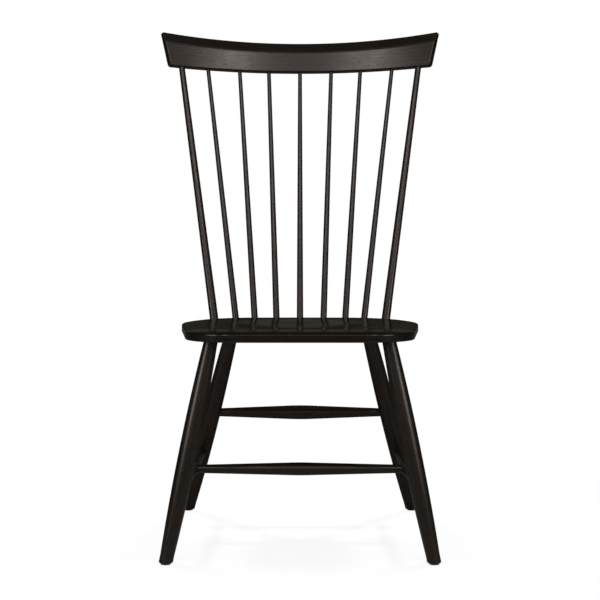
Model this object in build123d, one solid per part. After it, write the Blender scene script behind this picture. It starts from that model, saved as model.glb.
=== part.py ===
from build123d import *
import math
import os

# Fan-back side chair, in millimetres. The front faces -Y, +Z is up, and left is -X as seen from the front.
# The origin is on the floor, midway between the seat's front edge and the back of the crest.
# Depths run backwards from the seat's front edge.

# Fits
joint_clearance = 0.1  # gap all round a tenon in its socket
socket_relief = 0.5  # empty depth past the end of a tenon
cutter_overrun = 8  # how far a cutter starts outside what it cuts

# Seat
seat_front = 280.7  # from the origin forward to the seat's front edge
seat_height = 457  # of the seat's flat top, carried forward to the front edge, above the floor
seat_tilt = 1.76  # degrees, down towards the rear
seat_depth = 428
seat_thickness = 24.9
seat_front_half_width = 214  # to the front corners before they are rounded
seat_rear_half_width = 257.2  # to the rear corners before they are rounded
seat_rear_corner_depth = 415
seat_front_corner_radius = 94
seat_rear_corner_radius = 147
seat_roll_width = 48  # how far in from the edge the top starts to roll over
seat_roll_radius = 230
seat_top_round = 4  # where the roll turns down into the side
seat_lower_round = 3
under_bevel_height = 3.4
under_bevel_width = 44
dish_depth = 9
dish_radius = 158
dish_centre_depth = 212

# Legs
front_socket_inset = 50.1  # from the seat's side
front_socket_depth = 85
front_leg_splay = 87.7  # how far a foot stands out sideways from its socket
front_leg_rake = 45  # how far a foot stands forward of its socket
rear_socket_inset = 109.1  # from the line of the seat's side
rear_socket_gap = 47  # how far it lies in front of the middle spindle's foot
rear_leg_splay = 107.3
rear_leg_rake = 184  # how far a foot stands behind its socket
leg_foot_radius = 13.7
leg_swell_radius = 18.3
leg_top_radius = 13.8
leg_swell_height = 228  # along the leg, from the floor
leg_neck = 8  # straight length below the seat
leg_ankle = 18  # straight length above the floor
leg_tenon = 16
foot_round = 2.5

# Stretchers
side_stretcher_height = 144
rear_stretcher_height = 235
side_stretcher_swell_radius = 13.5
cross_stretcher_swell_radius = 13.6
rear_stretcher_swell_radius = 15.5
leg_joint_radius = 9  # tenons in the legs
cross_joint_radius = 8.7  # tenons in the side stretchers
stretcher_crown_radius = 600  # softens the middle of each stretcher
stretcher_neck = 3  # straight length outside a socket
tenon_past_axis = 4  # how far a tenon runs past the axis of what it enters

# Uprights of the back
upright_setback = 25  # from the middle of the seat's rear edge
upright_bow_radius = 476  # of the arc that they stand on
spindle_seat_offsets = (50.1, 96.1, 135.9)
spindle_crest_offsets = (67.6, 130.6, 198.3)
post_seat_inset = 76.5  # from the seat's rear corner before it is rounded
post_crest_inset = 30  # from the lower corner of the crest
spindle_seat_radius = 6.9
spindle_crest_radius = 4.25
post_seat_radius = 9
post_crest_radius = 6.4
upright_neck = 4  # straight length outside a socket
seat_tenon = 15
crest_tenon = 26

# Crest
back_height = 509.8  # from the seat's height up to the middle of the crest's lower front edge
back_rake = 100.5  # from the middle of the seat's rear edge back to the same place
crest_lean = 13  # degrees, backwards
crest_bow_radius = 743  # of the front face
crest_thickness = 20
crest_middle_height = 64.4
crest_top_hollow = 8.8  # how far the top dips in the middle
crest_bottom_half_width = 284
crest_end_flare = 16  # how far a top corner stands out past the lower corner
crest_bottom_corner_radius = 7
crest_edge_round = 2
crest_roll_height = 21.3  # of the soft bevel along the top of the front face
crest_roll_depth = 6.2
crest_roll_radius = 16

# Pegs that lock the posts in the crest, from behind
peg_radius = 2
peg_length = 14
peg_height = 14  # above the crest's lower edge

# Glides under the feet
glide_radius = 10
glide_thickness = 3
glide_round = 0.8
nail_radius = 1.25
nail_length = 14  # above the glide
nail_head_radius = 3.5
nail_head_thickness = 1.2
nail_head_recess = 0.6

# Places that follow from the sizes above
sides = {"left": -1, "right": 1}
crest_top_half_width = crest_bottom_half_width + crest_end_flare
crest_end_height = crest_middle_height + crest_top_hollow
post_seat_offset = seat_rear_half_width - post_seat_inset
post_crest_offset = crest_bottom_half_width - post_crest_inset
middle_spindle_depth = seat_depth - upright_setback
rear_socket_depth = middle_spindle_depth - rear_socket_gap

seat_plane = Plane(
    origin=(0, -seat_front, seat_height),
    x_dir=(1, 0, 0),
    z_dir=(0, math.sin(math.radians(seat_tilt)), math.cos(math.radians(seat_tilt))),
)
crest_plane = Plane(
    origin=(0, seat_depth + back_rake - seat_front, seat_height + back_height),
    x_dir=(1, 0, 0),
    z_dir=(0, math.sin(math.radians(crest_lean)), math.cos(math.radians(crest_lean))),
)


def along(start, toward):
    """Plane at start whose Z axis points at toward."""
    return Plane(origin=start, z_dir=toward - start)


def turned(start, toward, outline):
    """Solid turned about the line from start to toward, from an outline of radius and height."""
    profile = make_face(Plane.XZ * outline)
    return along(start, toward) * revolve(profile, Axis.Z)


def bore(mouth, toward, depth, radius):
    """Cutter for a blind hole that goes in at mouth, towards a point, with room round the tenon."""
    length = cutter_overrun + depth + socket_relief
    rod = Cylinder(radius + joint_clearance, length, align=(Align.CENTER, Align.CENTER, Align.MIN))
    return along(mouth, toward) * Pos(0, 0, -cutter_overrun) * rod


def seat_side(depth):
    """Half the seat's width at a depth, along the straight of its sides."""
    flare = (seat_rear_half_width - seat_front_half_width) / seat_rear_corner_depth
    return seat_front_half_width + flare * depth


def seat_outline():
    """Outline of the plank: straight in front, wider towards the rear, where it bows."""
    front_left = (-seat_front_half_width, 0)
    front_right = (seat_front_half_width, 0)
    rear_right = (seat_rear_half_width, seat_rear_corner_depth)
    rear_left = (-seat_rear_half_width, seat_rear_corner_depth)
    outline = make_face(
        Line(front_left, front_right)
        + Line(front_right, rear_right)
        + ThreePointArc(rear_right, (0, seat_depth), rear_left)
        + Line(rear_left, front_left)
    )
    outline = fillet(outline.vertices().sort_by(Axis.Y)[:2], seat_front_corner_radius)
    outline = fillet(outline.vertices().sort_by(Axis.Y)[-2:], seat_rear_corner_radius)
    return outline.face()


def edge_roll(outline):
    """Cutter that runs round the plank: its top rolls over slowly, then turns down into the side."""
    slope = math.asin((seat_roll_width - seat_top_round) / (seat_roll_radius - seat_top_round))
    turn_drop = seat_roll_radius * (1 - math.cos(slope))
    turn = Vector(seat_roll_width - seat_roll_radius * math.sin(slope), -turn_drop)
    side = Vector(0, -turn_drop - seat_top_round * math.cos(slope))
    outer_low = (-cutter_overrun, side.Y)
    outer_high = (-cutter_overrun, cutter_overrun)
    inner_high = (seat_roll_width, cutter_overrun)
    inner_low = (seat_roll_width, 0)
    profile = (
        TangentArc(inner_low, turn, tangent=(-1, 0))
        + TangentArc(turn, side, tangent=(-math.cos(slope), -math.sin(slope)))
        + Polyline(side, outer_low, outer_high, inner_high, inner_low)
    )
    path = outline.outer_wire()
    inward = Vector(0, 0, 1).cross(path % 0)
    across = Plane(origin=path @ 0, x_dir=inward, z_dir=path % 0)
    return sweep(across * make_face(profile), path=path)


def seat_blank():
    """The plank: rolled over at its edges, bevelled underneath and dished on top."""
    outline = seat_outline()
    plank = extrude(outline, -seat_thickness) - edge_roll(outline)
    underside = plank.faces().sort_by(Axis.Z)[0]
    plank = chamfer(underside.edges(), under_bevel_width, under_bevel_height, reference=underside)
    # Edges by height: the underside's outline, the seams of the bevel, then the bevel's upper line.
    bevel_line = plank.edges().group_by(Axis.Z)[2]
    plank = fillet(bevel_line, seat_lower_round)
    return seat_plane * (plank - dish())


def dish():
    """Cutter above the seat's top: a flat rim that runs smoothly down into a round hollow."""
    reach = seat_depth + seat_rear_half_width
    halfway = (dish_radius / 2, -dish_depth / 2)
    outline = (
        TangentArc((0, -dish_depth), halfway, tangent=(1, 0))
        + TangentArc((dish_radius, 0), halfway, tangent=(-1, 0))
        + Polyline((dish_radius, 0), (reach, 0), (reach, reach), (0, reach), (0, -dish_depth))
    )
    return Pos(0, dish_centre_depth, 0) * revolve(make_face(Plane.XZ * outline), Axis.Z)


def on_seat_top(half_width, depth):
    """Point on the flat of the seat's top."""
    return seat_plane.from_local_coords(Vector(half_width, depth, 0))


def on_seat_underside(half_width, depth):
    """Point on the flat of the seat's underside."""
    return seat_plane.from_local_coords(Vector(half_width, depth, -seat_thickness))


def leg_curve_radius(end_radius, length):
    """Radius of a leg's long curve, from its swell to an end."""
    fall = leg_swell_radius - end_radius
    return (length**2 + fall**2) / (2 * fall)


class Leg:
    """One splayed leg: its axis from the floor to the seat's underside."""

    def __init__(self, foot, socket):
        self.foot = foot
        self.socket = socket
        self.length = (socket - foot).length

    def at_height(self, height):
        """Point of the axis at a height above the floor."""
        return self.foot + (self.socket - self.foot) * (height / self.socket.Z)

    def radius_at(self, point):
        """Radius of the turning at a point of the axis."""
        offset = (point - self.foot).length - leg_swell_height
        end_radius, length = leg_foot_radius, leg_swell_height - leg_ankle
        if offset > 0:
            end_radius, length = leg_top_radius, self.length - leg_neck - leg_swell_height
        curve = leg_curve_radius(end_radius, length)
        return leg_swell_radius - curve + math.sqrt(curve**2 - offset**2)

    def solid(self):
        """The turning with its tenon, cut level at the top of its glide."""
        neck = self.length - leg_neck
        tip = self.length + leg_tenon
        stub = 2 * leg_foot_radius
        outline = (
            Polyline((leg_foot_radius, leg_ankle), (leg_foot_radius, -stub), (0, -stub), (0, tip))
            + Polyline((0, tip), (leg_top_radius, tip), (leg_top_radius, neck))
            + TangentArc((leg_swell_radius, leg_swell_height), (leg_top_radius, neck), tangent=(0, 1))
            + TangentArc((leg_swell_radius, leg_swell_height), (leg_foot_radius, leg_ankle), tangent=(0, -1))
        )
        leg = turned(self.foot, self.socket, outline)
        leg = split(leg, bisect_by=Plane.XY.offset(glide_thickness), keep=Keep.TOP)
        return fillet(leg.faces().sort_by(Axis.Z)[0].edges(), foot_round)

    def wall(self, point, toward):
        """Distance from the axis to the turned surface, at a point of the axis and towards another point."""
        run = (toward - point).normalized()
        axis = (self.socket - self.foot).normalized()
        return self.radius_at(point) / math.sqrt(1 - run.dot(axis) ** 2)

    def seat_bore(self):
        """Cutter for the leg's socket in the seat."""
        beyond = self.socket + (self.socket - self.foot)
        return bore(self.socket, beyond, leg_tenon, leg_top_radius)


class Stretcher:
    """A double-tapered stretcher between two axes, with a straight tenon at each end."""

    def __init__(self, start, end, start_wall, end_wall, swell_radius, joint_radius):
        self.start = start
        self.end = end
        self.start_wall = start_wall
        self.end_wall = end_wall
        self.swell_radius = swell_radius
        self.joint_radius = joint_radius
        self.length = (end - start).length

    def solid(self):
        """The turning, from tenon end to tenon end."""
        joint = self.joint_radius
        first = self.start_wall + stretcher_neck
        last = self.length - self.end_wall - stretcher_neck
        middle = (first + last) / 2
        tail = -tenon_past_axis
        tip = self.length + tenon_past_axis
        outline = Polyline(
            (0, tail), (joint, tail), (joint, first), (self.swell_radius, middle),
            (joint, last), (joint, tip), (0, tip), (0, tail),
        )
        profile = make_face(outline)
        profile = fillet(profile.vertices().sort_by(Axis.X)[-1], stretcher_crown_radius)
        return along(self.start, self.end) * revolve(Plane.XZ * profile, Axis.Z)

    def middle(self):
        """Point of the axis halfway along."""
        return (self.start + self.end) * 0.5

    def bores(self):
        """Cutters for the sockets at the start and at the end."""
        run = (self.end - self.start).normalized()
        start_mouth = self.start + run * self.start_wall
        end_mouth = self.end - run * self.end_wall
        return (
            bore(start_mouth, self.start, self.start_wall + tenon_past_axis, self.joint_radius),
            bore(end_mouth, self.end, self.end_wall + tenon_past_axis, self.joint_radius),
        )


class Upright:
    """A straight tapered rod from the seat's top to the crest's underside."""

    def __init__(self, seat_offset, crest_offset, seat_radius, crest_radius):
        fall = upright_bow_radius - math.sqrt(upright_bow_radius**2 - seat_offset**2)
        depth = middle_spindle_depth - fall
        middle = crest_bow_radius + crest_thickness / 2
        bowed = math.sqrt(middle**2 - crest_offset**2) - crest_bow_radius
        self.foot = on_seat_top(seat_offset, depth)
        self.head = crest_plane.from_local_coords(Vector(crest_offset, bowed, 0))
        self.seat_radius = seat_radius
        self.crest_radius = crest_radius
        self.length = (self.head - self.foot).length

    def solid(self):
        """The rod with a tenon at each end."""
        low, high = self.seat_radius, self.crest_radius
        tip = self.length + crest_tenon
        outline = Polyline(
            (0, -seat_tenon), (low, -seat_tenon), (low, upright_neck),
            (high, self.length - upright_neck), (high, tip), (0, tip), (0, -seat_tenon),
        )
        return turned(self.foot, self.head, outline)

    def seat_bore(self):
        """Cutter for the socket in the seat."""
        return bore(self.foot, self.foot * 2 - self.head, seat_tenon, self.seat_radius)

    def crest_bore(self):
        """Cutter for the socket in the crest."""
        return bore(self.head, self.head * 2 - self.foot, crest_tenon, self.crest_radius)


def crest_end_plane(side):
    """Plane of one end of the crest, square to the bow and leaning outwards, facing away from the middle."""
    back = crest_bow_radius + crest_thickness
    low = math.asin(crest_bottom_half_width / back)
    high = math.asin(crest_top_half_width / back)
    bottom = Vector(side * crest_bottom_half_width, back * math.cos(low) - crest_bow_radius, 0)
    top = Vector(side * crest_top_half_width, back * math.cos(high) - crest_bow_radius, crest_end_height)
    middle = (low + high) / 2
    square_to_bow = Vector(side * math.sin(middle), math.cos(middle), 0)
    return Plane(origin=bottom, z_dir=square_to_bow.cross(top - bottom) * side)


def crest_front(board):
    """The board's bowed front face and the long edge along its top."""
    front_face = board.faces().sort_by(SortBy.AREA)[-2:].sort_by(Axis.Y)[0]
    long_edges = front_face.edges().sort_by(SortBy.LENGTH)[-2:]
    return front_face, long_edges.sort_by(Axis.Z)[-1]


def crest_board():
    """The bowed board: hollow top edge, square ends and the top of its front face rolled back."""
    back = crest_bow_radius + crest_thickness
    top_bow = (crest_top_half_width**2 + crest_top_hollow**2) / (2 * crest_top_hollow)
    reach = crest_top_half_width + crest_end_height
    reach_height = crest_middle_height + top_bow - math.sqrt(top_bow**2 - reach**2)
    ring = Pos(0, -crest_bow_radius) * (Circle(back) - Circle(crest_bow_radius))
    front_view = make_face(
        Polyline((-reach, reach_height), (-reach, 0), (reach, 0), (reach, reach_height))
        + ThreePointArc((reach, reach_height), (0, crest_middle_height), (-reach, reach_height))
    )
    board = extrude(ring, reach_height) & extrude(Plane.XZ * front_view, reach, both=True)
    for side in sides.values():
        board = split(board, bisect_by=crest_end_plane(side), keep=Keep.BOTTOM)

    front_face, top_edge = crest_front(board)
    board = chamfer(top_edge, crest_roll_height, crest_roll_depth, reference=front_face)
    front_face, crease = crest_front(board)
    board = fillet(crease, crest_roll_radius)
    bottom_face = board.faces().sort_by(Axis.Z)[0]
    board = fillet(bottom_face.edges().filter_by(GeomType.LINE), crest_bottom_corner_radius)
    return crest_plane * fillet(board.edges(), crest_edge_round)


class Peg:
    """A peg driven from the back of the crest, square to its bow, through one post's tenon."""

    def __init__(self, post):
        head = crest_plane.to_local_coords(post.head)
        beyond = crest_plane.to_local_coords(post.head * 2 - post.foot)
        axis = head + (beyond - head) * (peg_height / beyond.Z)
        back = crest_bow_radius + crest_thickness
        angle = math.atan2(axis.X, axis.Y + crest_bow_radius)
        mouth = Vector(back * math.sin(angle), back * math.cos(angle) - crest_bow_radius, peg_height)
        self.mouth = crest_plane.from_local_coords(mouth)
        self.target = crest_plane.from_local_coords(axis)

    def solid(self):
        """The peg, flush with the crest's back."""
        rod = Cylinder(peg_radius, peg_length, align=(Align.CENTER, Align.CENTER, Align.MIN))
        return along(self.mouth, self.target) * rod

    def bore(self):
        """Cutter for the peg's hole in the crest and in the post."""
        return bore(self.mouth, self.target, peg_length, peg_radius)


class Glide:
    """A nylon disc under one foot and the nail that holds it."""

    def __init__(self, leg):
        under = leg.at_height(glide_thickness)
        self.place = Pos(under.X, under.Y, 0)
        self.head_top = nail_head_recess + nail_head_thickness

    def upright_rod(self, radius, low, high):
        """Round rod on the glide's axis, between two heights."""
        rod = Cylinder(radius, high - low, align=(Align.CENTER, Align.CENTER, Align.MIN))
        return self.place * Pos(0, 0, low) * rod

    def disc(self):
        """The nylon disc, holed and sunk for its nail."""
        disc = self.upright_rod(glide_radius, 0, glide_thickness)
        disc = fillet(disc.edges().filter_by(GeomType.CIRCLE), glide_round)
        disc -= self.upright_rod(nail_head_radius + joint_clearance, -glide_thickness, self.head_top)
        return disc - self.upright_rod(nail_radius + joint_clearance, 0, 2 * glide_thickness)

    def nail(self):
        """The nail: a flat head under a plain shank."""
        head = self.upright_rod(nail_head_radius, nail_head_recess, self.head_top)
        return head + self.upright_rod(nail_radius, self.head_top, glide_thickness + nail_length)

    def leg_bore(self):
        """Cutter for the nail's hole in the foot."""
        top = glide_thickness + nail_length + socket_relief
        return self.upright_rod(nail_radius + joint_clearance, 0, top)


def place_legs():
    """The four legs by row and side."""
    rows = {
        "front": (front_socket_inset, front_socket_depth, front_leg_splay, -front_leg_rake),
        "rear": (rear_socket_inset, rear_socket_depth, rear_leg_splay, rear_leg_rake),
    }
    legs = {}
    for row, (inset, depth, splay, rake) in rows.items():
        out = seat_side(depth) - inset
        for name, side in sides.items():
            foot = Vector(side * (out + splay), depth + rake - seat_front, 0)
            legs[row, name] = Leg(foot, on_seat_underside(side * out, depth))
    return legs


def leg_to_leg(first, second, height, swell_radius):
    """Stretcher between two legs at a height above the floor."""
    start = first.at_height(height)
    end = second.at_height(height)
    return Stretcher(
        start, end, first.wall(start, end), second.wall(end, start), swell_radius, leg_joint_radius
    )


def place_uprights():
    """Posts and spindles by name, the spindles numbered from the left."""
    uprights = {}
    for name, side in sides.items():
        uprights[f"post_{name}"] = Upright(
            side * post_seat_offset, side * post_crest_offset, post_seat_radius, post_crest_radius
        )
    pairs = list(zip(spindle_seat_offsets, spindle_crest_offsets))
    left = [(-low, -high) for low, high in reversed(pairs)]
    for number, (low, high) in enumerate(left + [(0, 0)] + pairs, start=1):
        uprights[f"spindle_{number}"] = Upright(low, high, spindle_seat_radius, spindle_crest_radius)
    return uprights


def build():
    """Every node of the chair by name."""
    legs = place_legs()
    uprights = place_uprights()
    side_stretchers = {
        name: leg_to_leg(
            legs["front", name], legs["rear", name], side_stretcher_height, side_stretcher_swell_radius
        )
        for name in sides
    }
    rear_stretcher = leg_to_leg(
        legs["rear", "left"], legs["rear", "right"], rear_stretcher_height, rear_stretcher_swell_radius
    )
    cross_stretcher = Stretcher(
        side_stretchers["left"].middle(), side_stretchers["right"].middle(),
        side_stretcher_swell_radius, side_stretcher_swell_radius,
        cross_stretcher_swell_radius, cross_joint_radius,
    )
    pegs = {name: Peg(uprights[f"post_{name}"]) for name in sides}
    glides = {key: Glide(leg) for key, leg in legs.items()}

    nodes = {"seat": seat_blank(), "crest_rail": crest_board()}
    for name, upright in uprights.items():
        nodes[name] = upright.solid()
        nodes["seat"] -= upright.seat_bore()
        nodes["crest_rail"] -= upright.crest_bore()
    for name, peg in pegs.items():
        nodes["crest_rail"] -= peg.bore()
        nodes[f"post_{name}"] -= peg.bore()
    for (row, name), leg in legs.items():
        nodes[f"leg_{row}_{name}"] = leg.solid() - glides[row, name].leg_bore()
        nodes["seat"] -= leg.seat_bore()
        nodes[f"glide_{row}_{name}"] = glides[row, name].disc()

    cross_bores = dict(zip(sides, cross_stretcher.bores()))
    for name, stretcher in side_stretchers.items():
        front_bore, rear_bore = stretcher.bores()
        nodes[f"leg_front_{name}"] -= front_bore
        nodes[f"leg_rear_{name}"] -= rear_bore
        nodes[f"side_stretcher_{name}"] = stretcher.solid() - cross_bores[name]
    for name, rear_bore in zip(sides, rear_stretcher.bores()):
        nodes[f"leg_rear_{name}"] -= rear_bore
    nodes["cross_stretcher"] = cross_stretcher.solid()
    nodes["rear_stretcher"] = rear_stretcher.solid()
    nodes["crest_pegs"] = Compound([peg.solid() for peg in pegs.values()])
    nodes["glide_nails"] = Compound([glide.nail() for glide in glides.values()])
    return nodes


if __name__ == "__main__":
    os.makedirs("parts", exist_ok=True)
    for node, solid in build().items():
        export_step(solid, f"parts/{node}.step")
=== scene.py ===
import math

import bpy
import numpy as np
from mathutils import Euler, Matrix, Vector

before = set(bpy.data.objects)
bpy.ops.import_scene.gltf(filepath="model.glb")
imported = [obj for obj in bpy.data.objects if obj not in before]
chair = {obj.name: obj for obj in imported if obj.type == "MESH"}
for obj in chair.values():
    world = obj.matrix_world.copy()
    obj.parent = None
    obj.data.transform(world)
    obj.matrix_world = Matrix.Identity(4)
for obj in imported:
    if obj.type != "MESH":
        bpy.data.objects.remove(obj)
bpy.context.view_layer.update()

# Camera: place in metres, pitch in degrees, lens and sensor in millimetres
camera_height = 0.8028
camera_distance = 3.4807
camera_pitch = 5.107
camera_lens = 102.3
camera_sensor = 36

# Stain, wood and fittings, linear
stain_deep = (0.0040, 0.0030, 0.0021, 1)
stain_open = (0.0125, 0.0092, 0.0062, 1)
# The rubbed wood colour is real edge wear and also a painted edge highlight along every edge
rubbed_wood_edge_highlight = (0.034, 0.025, 0.017, 1)
end_grain_stain = (0.0042, 0.0031, 0.0022, 1)
nylon_dark = (0.030, 0.028, 0.026, 1)
nylon_scuffed = (0.085, 0.080, 0.074, 1)
steel_bright = (0.56, 0.56, 0.55, 1)
steel_dull = (0.36, 0.35, 0.34, 1)

# Lacquer: its tint and strength of shine, and how rough it is from its clear to its cloudy patches
lacquer_tint = (1, 0.88, 0.84, 1)
lacquer_shine = 0.2
satin_sheen = (0.23, 0.28)
seat_sheen = (0.14, 0.19)
peg_sheen = (0.36, 0.46)

# How far rubbing shows the wood through the stain, which also lightens the edges as a painted edge
# highlight
edge_wear_and_highlight = 0.45
seat_wear_and_highlight = 0.12

# Width of the growth rings, in metres
spindle_rings = 0.0036
turned_rings = 0.0045
crest_rings = 0.0055
seat_rings = 0.0065

# How much each part of the grain tells in the stain, in the sheen and in the relief
fibre_in_stain = 0.75
growth_in_stain = -0.30
pores_in_stain = 0.7
pores_in_sheen = 0.12
specks_in_sheen = 0.10
fibre_in_relief = 0.5
growth_in_relief = 0.35
pores_in_relief = 0.8
turning_in_relief = 0.25

# Studio colours, linear
paper_white = (1, 1, 1, 1)
warm_backdrop = (1, 0.86, 0.66, 1)
floor_paint = (0.92, 0.92, 0.92, 1)

# Floor, in metres. The shadow fades out between the two distances from the chair's middle,
# and in front of the chair between the two depths
floor_size = 24
shadow_fades = (0.45, 0.95)
shadow_fades_in_front = (-0.16, -0.42)

# Share of plain white in the floor as the camera sees it; the rest takes the shadow
floor_white = 0.88

# Light that the chair gets from the room and mirrors from the studio, where 1 is paper white
room_fill = 0.05
room_mirrored = 1.0
backdrop_mirrored = 0.09
floor_mirrored = 0.42
floor_far_mirrored = 0.18
floor_behind_mirrored = 0.06

# Soft boxes, in watts, and the points that they are turned to, in metres
top_power = 56
front_power = 25.5
front_middle_power = 5
side_power = 24
below_seat = (0, 0, 0.2)
at_seat = (0, 0, 0.5)
at_back = (0, 0, 0.9)


def put(tree, kind, inputs=None, **settings):
    """New node in a tree. Each input is a plain value, or a socket to join to it."""
    node = tree.nodes.new(kind)
    for name, value in settings.items():
        setattr(node, name, value)
    for name, value in (inputs or {}).items():
        if isinstance(value, bpy.types.NodeSocket):
            tree.links.new(value, node.inputs[name])
        else:
            node.inputs[name].default_value = value
    return node


def reckoned(tree, operation, first, second=0.0):
    """Output of a Math node on one or two values or sockets."""
    return put(tree, "ShaderNodeMath", {0: first, 1: second}, operation=operation).outputs[0]


def added(tree, first, second):
    """Sum of two values or sockets."""
    return reckoned(tree, "ADD", first, second)


def times(tree, first, second):
    """Product of two values or sockets."""
    return reckoned(tree, "MULTIPLY", first, second)


def spread(tree, value, low, high, start=0.0, end=1.0):
    """A value between low and high, spread smoothly from start to end."""
    ranged = {"Value": value, "From Min": low, "From Max": high, "To Min": start, "To Max": end}
    return put(tree, "ShaderNodeMapRange", ranged, interpolation_type="SMOOTHSTEP").outputs["Result"]


def blended(tree, share, first, second):
    """A colour between two colours."""
    mix = put(tree, "ShaderNodeMix", {"Factor": share}, data_type="RGBA")
    for socket, colour in ((mix.inputs[6], first), (mix.inputs[7], second)):
        if isinstance(colour, bpy.types.NodeSocket):
            tree.links.new(colour, socket)
        else:
            socket.default_value = colour
    return mix.outputs[2]


def noise(tree, place, scale, detail, roughness, distortion=0.0):
    """Value of a noise texture."""
    look = {"Scale": scale, "Detail": detail, "Roughness": roughness, "Distortion": distortion}
    return put(tree, "ShaderNodeTexNoise", {"Vector": place, **look}).outputs[0]


def stretched(tree, place, scales):
    """Coordinates scaled along X, Y and Z, so that a small scale draws a pattern out."""
    return put(tree, "ShaderNodeVectorMath", {0: place, 1: scales}, operation="MULTIPLY").outputs[0]


def distance(tree, place):
    """Distance of a place from the origin of its coordinates."""
    return put(tree, "ShaderNodeVectorMath", {0: place}, operation="LENGTH").outputs["Value"]


def along_axes(tree, place):
    """X, Y and Z of a place."""
    return put(tree, "ShaderNodeSeparateXYZ", {0: place}).outputs


def joined(tree, x, y, z=0.0):
    """Place with the given X, Y and Z."""
    return put(tree, "ShaderNodeCombineXYZ", {"X": x, "Y": y, "Z": z}).outputs[0]


def new_effect(name, inputs, outputs):
    """Node group for one effect, with its named inputs and outputs."""
    tree = bpy.data.node_groups.new(name, "ShaderNodeTree")
    for socket, (kind, value) in inputs.items():
        made = tree.interface.new_socket(socket, in_out="INPUT", socket_type=kind)
        if value is not None:
            made.default_value = value
    for socket in outputs:
        tree.interface.new_socket(socket, in_out="OUTPUT", socket_type="NodeSocketFloat")
    return tree, tree.nodes.new("NodeGroupInput").outputs, tree.nodes.new("NodeGroupOutput").inputs


def straight_grain():
    """Growth rings, fibres and open pores of straight-grained wood whose length runs along Z."""
    fibre_scales = (1, 1, 0.025)
    pore_scales = (1, 1, 0.06)
    pith_x, pith_y = 0.055, 0.021
    ring_wander = 0.011
    late_wood_starts, late_wood_ends = 0.45, 0.95
    tree, given, made = new_effect(
        "straight_grain",
        {
            "Place": ("NodeSocketVector", None),
            "Ring Width": ("NodeSocketFloat", 0.004),
            "Fibre Scale": ("NodeSocketFloat", 700.0),
        },
        ("Growth", "Fibre", "Pores", "Height"),
    )
    drawn_out = stretched(tree, given["Place"], fibre_scales)
    wander = noise(tree, drawn_out, scale=26.0, detail=3.0, roughness=0.55)
    across = along_axes(tree, given["Place"])
    from_pith = joined(tree, added(tree, across["X"], pith_x), added(tree, across["Y"], pith_y))
    wavy = added(tree, distance(tree, from_pith), times(tree, wander, ring_wander))
    year = reckoned(tree, "FRACT", reckoned(tree, "DIVIDE", wavy, given["Ring Width"]))
    late_wood = spread(tree, year, late_wood_starts, late_wood_ends)
    early_wood = spread(tree, year, late_wood_ends, 1.0)
    growth = reckoned(tree, "SUBTRACT", late_wood, early_wood)
    tree.links.new(growth, made["Growth"])

    fibre = noise(tree, drawn_out, scale=given["Fibre Scale"], detail=4.0, roughness=0.62)
    tree.links.new(fibre, made["Fibre"])

    short_runs = stretched(tree, given["Place"], pore_scales)
    flecks = noise(tree, short_runs, scale=1500.0, detail=1.5, roughness=0.5)
    fewer_late = spread(tree, growth, 0.0, 0.7, start=1.0, end=0.35)
    pores = times(tree, spread(tree, flecks, 0.60, 0.74), fewer_late)
    tree.links.new(pores, made["Pores"])

    raised = added(tree, times(tree, fibre, fibre_in_relief), times(tree, growth, growth_in_relief))
    sunk = times(tree, pores, pores_in_relief)
    tree.links.new(reckoned(tree, "SUBTRACT", raised, sunk), made["Height"])
    return tree


def turning_marks():
    """Faint rings that a lathe leaves round a turned piece whose length runs along Z."""
    tree, given, made = new_effect(
        "turning_marks",
        {"Place": ("NodeSocketVector", None), "Pitch": ("NodeSocketFloat", 0.0016)},
        ("Height",),
    )
    length = along_axes(tree, given["Place"])["Z"]
    slow = put(
        tree, "ShaderNodeTexNoise",
        {"W": length, "Scale": 60.0, "Detail": 2.0}, noise_dimensions="1D",
    ).outputs[0]
    turns = reckoned(tree, "DIVIDE", length, given["Pitch"])
    wave = reckoned(tree, "SINE", times(tree, turns, 2 * math.pi))
    tree.links.new(times(tree, wave, spread(tree, slow, 0.45, 0.75)), made["Height"])
    return tree


def rubbed_and_lit_edges():
    """Mask of the edges where hands and cloth have rubbed the stain thin; on the wood it also lightens
    every edge as a painted edge highlight.
    """
    flat, sharp = 0.995, 0.88
    tree, given, made = new_effect(
        "rubbed_and_lit_edges",
        {"Place": ("NodeSocketVector", None), "Reach": ("NodeSocketFloat", 0.0015)},
        ("Rub Highlight",),
    )
    eased = put(tree, "ShaderNodeBevel", {"Radius": given["Reach"]}, samples=6).outputs[0]
    surface = put(tree, "ShaderNodeNewGeometry").outputs["Normal"]
    turned = put(tree, "ShaderNodeVectorMath", {0: eased, 1: surface}, operation="DOT_PRODUCT")
    edge = spread(tree, turned.outputs["Value"], flat, sharp)
    patches = noise(tree, given["Place"], scale=85.0, detail=5.0, roughness=0.65)
    tree.links.new(times(tree, edge, spread(tree, patches, 0.38, 0.66)), made["Rub Highlight"])
    return tree


def handled_lacquer():
    """Uneven sheen of a hand-rubbed lacquer: broad cloudy patches and fine specks."""
    tree, given, made = new_effect(
        "handled_lacquer", {"Place": ("NodeSocketVector", None)}, ("Cloud", "Speck")
    )
    cloud = noise(tree, given["Place"], scale=11.0, detail=5.0, roughness=0.55, distortion=0.4)
    tree.links.new(spread(tree, cloud, 0.32, 0.70), made["Cloud"])
    speck = noise(tree, given["Place"], scale=1900.0, detail=2.0, roughness=0.5)
    tree.links.new(spread(tree, speck, 0.66, 0.78), made["Speck"])
    return tree


grain_effect = straight_grain()
turning_effect = turning_marks()
rubbed_lit_edge_effect = rubbed_and_lit_edges()
lacquer_effect = handled_lacquer()


def use(tree, effect, inputs):
    """Outputs of an effect placed in a material."""
    return put(tree, "ShaderNodeGroup", inputs, node_tree=effect).outputs


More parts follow.
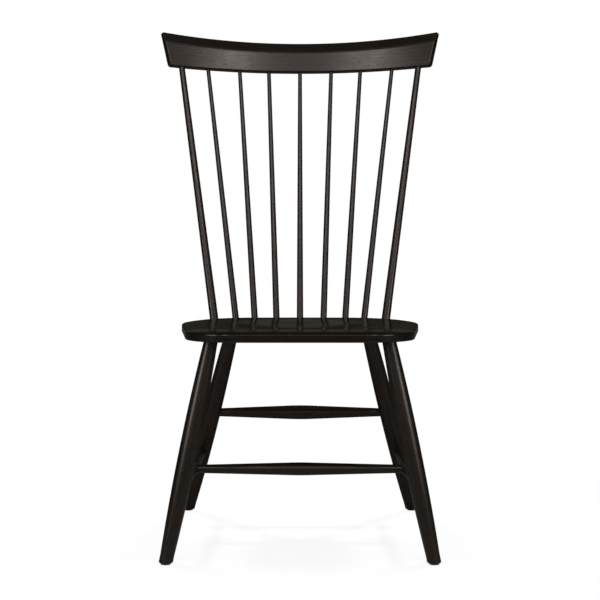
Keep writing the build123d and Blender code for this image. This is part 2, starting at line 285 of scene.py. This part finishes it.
def new_finish(name):
    """New material with its node tree, its object coordinates and its shader."""
    material = bpy.data.materials.new(name)
    material.use_nodes = True
    tree = material.node_tree
    tree.nodes.clear()
    shader = tree.nodes.new("ShaderNodeBsdfPrincipled")
    output = tree.nodes.new("ShaderNodeOutputMaterial")
    tree.links.new(shader.outputs[0], output.inputs["Surface"])
    place = put(tree, "ShaderNodeTexCoord").outputs["Object"]
    return material, tree, shader, place


def raise_relief(tree, shader, height, strength, depth):
    """Fine relief on a shader, from a height that changes over the surface."""
    relief = put(tree, "ShaderNodeBump", {"Height": height, "Strength": strength, "Distance": depth})
    tree.links.new(relief.outputs[0], shader.inputs["Normal"])


def laid_along(tree, place, middle, axis, slide):
    """Coordinates whose Z runs along a piece's length, slid along so that no two pieces match."""
    turn = Vector((0, 0, 1)).rotation_difference(axis).to_matrix().transposed()
    shift = turn @ -middle + Vector((0, 0, slide))
    return put(
        tree, "ShaderNodeMapping",
        {"Vector": place, "Location": shift, "Rotation": turn.to_euler()},
    ).outputs[0]


def stained_wood(
    tree, shader, place, grain_place, rings, turned=False, tone=None, wear_highlight=edge_wear_and_highlight, sheen=satin_sheen
):
    """Near-black stain under a lacquer, with the grain just showing, and edges lightened as worn wood
    and as a painted edge highlight.
    """
    grain = use(tree, grain_effect, {"Place": grain_place, "Ring Width": rings})
    rub_highlight = use(tree, rubbed_lit_edge_effect, {"Place": place})["Rub Highlight"]
    lacquer = use(tree, lacquer_effect, {"Place": place})

    fibres = times(tree, grain["Fibre"], fibre_in_stain)
    openness = added(tree, fibres, times(tree, grain["Growth"], growth_in_stain))
    if tone is not None:
        openness = added(tree, openness, tone)
    stain = blended(tree, spread(tree, openness, 0.05, 0.62), stain_deep, stain_open)
    filled = blended(tree, times(tree, grain["Pores"], pores_in_stain), stain, stain_deep)
    # Edges lightened towards rubbed wood: partly real edge wear, partly a painted edge highlight
    worn_highlit = blended(tree, times(tree, rub_highlight, wear_highlight), filled, rubbed_wood_edge_highlight)
    tree.links.new(worn_highlit, shader.inputs["Base Color"])

    gloss = spread(tree, lacquer["Cloud"], 0.0, 1.0, *sheen)
    dry = times(tree, grain["Pores"], pores_in_sheen)
    dust = times(tree, lacquer["Speck"], specks_in_sheen)
    tree.links.new(added(tree, gloss, added(tree, dry, dust)), shader.inputs["Roughness"])

    height = grain["Height"]
    if turned:
        marks = use(tree, turning_effect, {"Place": grain_place})["Height"]
        height = added(tree, height, times(tree, marks, turning_in_relief))
    raise_relief(tree, shader, height, strength=0.12, depth=0.0004)
    shader.inputs["Specular IOR Level"].default_value = lacquer_shine
    shader.inputs["Specular Tint"].default_value = lacquer_tint


def length_of(node):
    """Middle of a long piece and the direction that it runs in, read from its mesh."""
    places = np.array([corner.co for corner in chair[node].data.vertices])
    middle = places.mean(axis=0)
    run = np.linalg.svd(places - middle, full_matrices=False)[2][0]
    axis = Vector(run.tolist()).normalized()
    if axis.z + axis.x < 0:
        axis = -axis
    return Vector(middle.tolist()), axis


def paint(node, material):
    """Puts a material in a piece's slot."""
    chair[node].material_slots[0].material = material


def paint_turned_pieces():
    """Legs, stretchers, posts and spindles, each with the grain along its own length."""
    slide_between = 0.37
    straight = [name for name in chair if name.startswith(("leg_", "post_", "spindle_"))]
    straight += [name for name in chair if "stretcher" in name]
    for number, node in enumerate(sorted(straight)):
        material, tree, shader, place = new_finish(f"{node}_stain")
        middle, axis = length_of(node)
        along = laid_along(tree, place, middle, axis, slide_between * number)
        rings = spindle_rings if node.startswith("spindle_") else turned_rings
        stained_wood(tree, shader, place, along, rings, turned=True)
        paint(node, material)


def paint_seat():
    """Boards glued edge to edge, their grain from side to side, under a glossier lacquer."""
    board_width = 0.092
    boards_start = -0.33
    most_across, most_along = 0.07, 5.0
    darkest_board, lightest_board = -0.24, -0.12
    material, tree, shader, place = new_finish("seat_stain")
    parts = along_axes(tree, place)
    count = reckoned(tree, "DIVIDE", added(tree, parts["Y"], -boards_start), board_width)
    board = reckoned(tree, "FLOOR", count)
    own = put(tree, "ShaderNodeTexWhiteNoise", {"W": board}, noise_dimensions="1D").outputs["Value"]
    along = joined(
        tree,
        added(tree, parts["Y"], times(tree, own, most_across)),
        parts["Z"],
        added(tree, parts["X"], times(tree, own, most_along)),
    )
    tone = spread(tree, own, 0.0, 1.0, darkest_board, lightest_board)
    stained_wood(tree, shader, place, along, seat_rings, tone=tone, wear_highlight=seat_wear_and_highlight, sheen=seat_sheen)
    paint("seat", material)


def paint_crest():
    """A bent board: the grain follows the bow."""
    bow_radius = 0.743
    lean = math.radians(13)
    foot = Vector((0, 0.2478, 0.9668))
    material, tree, shader, place = new_finish("crest_stain")
    upright = Matrix.Rotation(lean, 3, "X")
    level = put(
        tree, "ShaderNodeMapping",
        {
            "Vector": place,
            "Location": upright @ -foot + Vector((0, bow_radius, 0)),
            "Rotation": upright.to_euler(),
        },
    ).outputs[0]
    parts = along_axes(tree, level)
    angle = reckoned(tree, "ARCTAN2", parts["X"], parts["Y"])
    out = distance(tree, joined(tree, parts["X"], parts["Y"]))
    along = joined(
        tree,
        reckoned(tree, "SUBTRACT", out, bow_radius),
        parts["Z"],
        times(tree, angle, bow_radius),
    )
    stained_wood(tree, shader, place, along, crest_rings)
    paint("crest_rail", material)


def paint_pegs():
    """End grain of the two pegs, darker because it drinks the stain."""
    material, tree, shader, place = new_finish("peg_end_grain")
    rings = noise(tree, place, scale=2600.0, detail=3.0, roughness=0.6)
    lacquer = use(tree, lacquer_effect, {"Place": place})
    colour = blended(tree, spread(tree, rings, 0.35, 0.65), end_grain_stain, stain_open)
    tree.links.new(colour, shader.inputs["Base Color"])
    tree.links.new(spread(tree, lacquer["Cloud"], 0.0, 1.0, *peg_sheen), shader.inputs["Roughness"])
    raise_relief(tree, shader, rings, strength=0.2, depth=0.0002)
    shader.inputs["Specular IOR Level"].default_value = lacquer_shine
    paint("crest_pegs", material)


def paint_glides():
    """Dark moulded nylon, scuffed pale where it slides."""
    scuff_scales = (1, 0.12, 1)
    smooth, scuffed = 0.48, 0.66
    material, tree, shader, place = new_finish("glide_nylon_scuffed")
    skin = noise(tree, place, scale=3200.0, detail=2.0, roughness=0.5)
    drag = stretched(tree, place, scuff_scales)
    scuffs = noise(tree, drag, scale=900.0, detail=4.0, roughness=0.7)
    rub_highlight = use(tree, rubbed_lit_edge_effect, {"Place": place, "Reach": 0.0008})["Rub Highlight"]
    worn_highlit = reckoned(tree, "MAXIMUM", spread(tree, scuffs, 0.55, 0.75), rub_highlight)
    tree.links.new(blended(tree, worn_highlit, nylon_dark, nylon_scuffed), shader.inputs["Base Color"])
    tree.links.new(spread(tree, worn_highlit, 0.0, 1.0, smooth, scuffed), shader.inputs["Roughness"])
    raise_relief(tree, shader, skin, strength=0.25, depth=0.0001)
    for node in chair:
        if node.startswith("glide_") and node != "glide_nails":
            paint(node, material)


def paint_nails():
    """Plain steel with fine draw lines."""
    draw_scales = (1, 1, 0.05)
    bright, dull = 0.26, 0.42
    material, tree, shader, place = new_finish("nail_steel_drawn")
    drawn = stretched(tree, place, draw_scales)
    lines = noise(tree, drawn, scale=4200.0, detail=3.0, roughness=0.6)
    tree.links.new(blended(tree, lines, steel_dull, steel_bright), shader.inputs["Base Color"])
    tree.links.new(spread(tree, lines, 0.3, 0.7, bright, dull), shader.inputs["Roughness"])
    shader.inputs["Metallic"].default_value = 1
    paint("glide_nails", material)


def seen_plainly(tree, ray):
    """Mask of what the camera sees, also through anything clear."""
    return reckoned(tree, "MAXIMUM", ray["Is Camera Ray"], ray["Is Transmission Ray"])


def lay_floor():
    """Pale floor that takes the chair's shadow, runs out into white and is mirrored dimly."""
    near, far = 0.5, 2.0
    behind_chair, before_chair = 0.35, -0.25
    bpy.ops.object.select_all(action="DESELECT")
    bpy.ops.mesh.primitive_plane_add(size=floor_size, location=(0, 0, 0))
    floor = bpy.context.object
    floor.name = "floor"
    material = bpy.data.materials.new("pale_floor")
    material.use_nodes = True
    tree = material.node_tree
    tree.nodes.clear()
    ray = put(tree, "ShaderNodeLightPath").outputs
    place = put(tree, "ShaderNodeTexCoord").outputs["Object"]
    away = distance(tree, place)
    depth = along_axes(tree, place)["Y"]

    faded = spread(tree, away, *shadow_fades)
    clear = reckoned(tree, "MAXIMUM", faded, spread(tree, depth, *shadow_fades_in_front))
    share = times(tree, seen_plainly(tree, ray), spread(tree, clear, 0.0, 1.0, floor_white, 1.0))
    lit = put(tree, "ShaderNodeBsdfDiffuse", {"Color": floor_paint}).outputs[0]
    white = put(tree, "ShaderNodeEmission", {"Color": paper_white, "Strength": 1.0}).outputs[0]
    shade = put(tree, "ShaderNodeMixShader", {0: share, 1: lit, 2: white}).outputs[0]

    in_front = spread(tree, away, near, far, floor_mirrored, floor_far_mirrored)
    mirrored = spread(tree, depth, behind_chair, before_chair, floor_behind_mirrored, in_front)
    dim = put(tree, "ShaderNodeEmission", {"Color": paper_white, "Strength": mirrored}).outputs[0]
    shade = put(tree, "ShaderNodeMixShader", {0: ray["Is Glossy Ray"], 1: shade, 2: dim}).outputs[0]
    put(tree, "ShaderNodeOutputMaterial", {"Surface": shade})
    floor.data.materials.append(material)


def patch_of_room(tree, toward, turn, rise, fall):
    """Mask of the directions to one part of the room, by their Y and by the rise and fall of their Z."""
    band = times(tree, spread(tree, toward["Y"], *turn), spread(tree, toward["Z"], *rise))
    return times(tree, band, spread(tree, toward["Z"], *fall))


def hang_backdrop():
    """White all round. The chair mirrors a warm band low behind it and a bright one in front."""
    world = bpy.data.worlds.new("studio")
    bpy.context.scene.world = world
    world.use_nodes = True
    tree = world.node_tree
    tree.nodes.clear()
    ray = put(tree, "ShaderNodeLightPath").outputs
    toward = along_axes(tree, put(tree, "ShaderNodeTexCoord").outputs["Generated"])

    behind = patch_of_room(tree, toward, turn=(0.1, 0.6), rise=(0.02, 0.16), fall=(0.38, 0.22))
    front = patch_of_room(tree, toward, turn=(0.0, -0.5), rise=(-0.10, 0.28), fall=(0.80, 0.60))
    mirrored = added(tree, times(tree, behind, backdrop_mirrored), times(tree, front, room_mirrored))
    tint = blended(tree, behind, paper_white, warm_backdrop)
    glow = put(tree, "ShaderNodeBackground", {"Color": tint, "Strength": mirrored}).outputs[0]

    fill = put(tree, "ShaderNodeBackground", {"Color": paper_white, "Strength": room_fill}).outputs[0]
    white = put(tree, "ShaderNodeBackground", {"Color": paper_white, "Strength": 1.0}).outputs[0]
    room = put(tree, "ShaderNodeMixShader", {0: ray["Is Glossy Ray"], 1: fill, 2: glow}).outputs[0]
    room = put(tree, "ShaderNodeMixShader", {0: seen_plainly(tree, ray), 1: room, 2: white}).outputs[0]
    put(tree, "ShaderNodeOutputWorld", {"Surface": room})


def soft_box(name, place, aim, size, power, mirrored=True):
    """A rectangular soft box turned towards a point."""
    lamp = bpy.data.lights.new(name, "AREA")
    lamp.shape = "RECTANGLE"
    lamp.size, lamp.size_y = size
    lamp.energy = power
    box = bpy.data.objects.new(name, lamp)
    box.location = place
    box.rotation_euler = (Vector(aim) - Vector(place)).to_track_quat("-Z", "Y").to_euler()
    box.visible_camera = False
    box.visible_glossy = mirrored
    bpy.context.scene.collection.objects.link(box)


def light_studio():
    """Three boxes high in front and, on each side, a small one overhead and one low down."""
    soft_box("front_middle_box", (0, -2.6, 2.4), at_back, (1.0, 0.7), front_middle_power)
    for name, side in (("left", -1), ("right", 1)):
        overhead = (side * 1.05, 1.05, 3.0)
        high_in_front = (side * 0.95, -2.45, 2.36)
        low_beside = (side * 2.07, -1.76, 0.95)
        soft_box(f"top_{name}_box", overhead, below_seat, (0.35, 0.35), top_power, mirrored=False)
        soft_box(f"front_{name}_box", high_in_front, at_back, (0.55, 0.7), front_power)
        soft_box(f"{name}_side_box", low_beside, at_seat, (1.1, 0.55), side_power)


def set_camera():
    """Camera straight in front, as high as the chair's back and tilted a little down."""
    lens = bpy.data.cameras.new("camera")
    lens.lens = camera_lens
    lens.sensor_width = camera_sensor
    camera = bpy.data.objects.new("camera", lens)
    camera.location = (0, -camera_distance, camera_height)
    camera.rotation_euler = Euler((math.radians(90 - camera_pitch), 0, 0))
    bpy.context.scene.collection.objects.link(camera)
    bpy.context.scene.camera = camera


bpy.context.scene.view_settings.view_transform = "Standard"
paint_turned_pieces()
paint_seat()
paint_crest()
paint_pegs()
paint_glides()
paint_nails()
lay_floor()
hang_backdrop()
light_studio()
set_camera()
